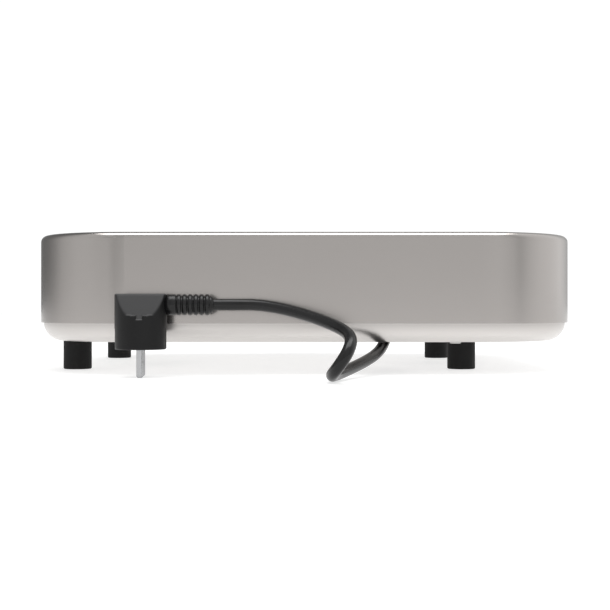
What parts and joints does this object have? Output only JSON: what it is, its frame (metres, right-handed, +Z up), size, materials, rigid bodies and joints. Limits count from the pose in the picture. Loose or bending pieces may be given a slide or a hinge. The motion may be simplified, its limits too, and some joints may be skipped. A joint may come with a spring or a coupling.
{
  "type": "electric induction cooktop",
  "caption": "Table-top induction cooker: rounded steel band and pan on rubber feet, flush glass top, coil, fan, front controls, short lead with angled earthed plug.",
  "frame": {"origin": "bottom centre of the cooker's own box, on the surface that it stands on, without its lead and plug", "axes": "+Z up; -Y towards the rear wall, where the lead and plug are; +Y towards the control wall; +X to the right, seen from the rear"},
  "size_m": [0.4, 0.4669, 0.101],
  "materials": {
    "band_steel": "satin brushed, warm grey",
    "pan_steel": "pale warm grey satin",
    "fastener_steel": "zinc plated",
    "foot_rubber": "matt",
    "glass_black": "polished ceramic glass",
    "seal_silicone": "matt",
    "mica": "matt",
    "coil_copper": "varnished copper",
    "former_plastic": "moulded",
    "ferrite": "sintered",
    "sensor_glass": "glazed bead",
    "board_green": "solder mask",
    "sink_aluminium": "extruded",
    "device_black": "moulded epoxy",
    "capacitor_blue": "cast epoxy",
    "lead_black": "soft",
    "lead_green": "soft",
    "ribbon_grey": "soft",
    "fan_plastic": "moulded",
    "window_tint": "polished",
    "knob_black": "fine texture",
    "cord_black": "soft satin",
    "plug_black": "moulded satin",
    "pin_nickel": "nickel plated"
  },
  "bodies": {
    "housing": {"air_duct": "fan_plastic", "band_brackets": "band_steel", "band_shell": "band_steel", "board_standoffs": "fastener_steel", "bottom_pan": "pan_steel", "bridge_rectifier": "device_black", "coil_former": "former_plastic", "coil_leads": "lead_black", "coil_nuts": "fastener_steel", "coil_posts": "fastener_steel", "coil_springs": "fastener_steel", "control_board": "board_green", "cord_gland": "foot_rubber", "display_module": "device_black", "display_window": "window_tint", "earth_lead": "lead_green", "earth_stud": "fastener_steel", "encoder_nut": "fastener_steel", "fan_frame": "fan_plastic", "fan_lead": "lead_black", "fan_screws": "fastener_steel", "fan_stator": "coil_copper", "ferrite_bars": "ferrite", "film_capacitors": "capacitor_blue", "filter_choke": "coil_copper", "foot_front_left": "foot_rubber", "foot_front_right": "foot_rubber", "foot_nuts": "fastener_steel", "foot_rear_left": "foot_rubber", "foot_rear_right": "foot_rubber", "foot_screws": "fastener_steel", "glass_plate": "glass_black", "glass_seal": "seal_silicone", "heat_sink": "sink_aluminium", "housing_screws": "fastener_steel", "induction_coil": "coil_copper", "knob_encoder": "device_black", "mica_sheet": "mica", "panel_standoffs": "fastener_steel", "plug_body": "plug_black", "plug_earth_clips": "pin_nickel", "plug_pins": "pin_nickel", "plug_relief": "plug_black", "power_board": "board_green", "power_cord": "cord_black", "power_transistors": "device_black", "ribbon_cable": "ribbon_grey", "sensor_cup": "seal_silicone", "supply_leads": "lead_black", "switch_frame": "knob_black", "tact_switches": "device_black", "temperature_sensor": "sensor_glass", "terminal_block": "former_plastic"},
    "fan_rotor": {"fan_rotor": "fan_plastic"},
    "control_knob": {"control_knob": "knob_black", "knob_cap": "sink_aluminium", "encoder_shaft": "fastener_steel"},
    "power_rocker": {"power_rocker": "knob_black"},
    "plus_button": {"plus_button": "knob_black"},
    "minus_button": {"minus_button": "knob_black"}
  },
  "joints": [
    {"name": "fan_spin", "type": "hinge", "parent": "housing", "child": "fan_rotor", "pos_m": [0.11, -0.01, 0.0364], "axis": [0, 0, 1], "continuous": true},
    {"name": "knob_turn", "type": "hinge", "parent": "housing", "child": "control_knob", "pos_m": [0, 0.165, 0.068], "axis": [0, -1, 0], "range_deg": [0, 270]},
    {"name": "power_rock", "type": "hinge", "parent": "housing", "child": "power_rocker", "pos_m": [-0.095, 0.1645, 0.068], "axis": [1, 0, 0], "range_deg": [0, 16]},
    {"name": "plus_press", "type": "slide", "parent": "housing", "child": "plus_button", "axis": [0, -1, 0], "range_m": [0, 0.0012], "stiffness_N_per_m": 400},
    {"name": "minus_press", "type": "slide", "parent": "housing", "child": "minus_button", "axis": [0, -1, 0], "range_m": [0, 0.0012], "stiffness_N_per_m": 400}
  ]
}
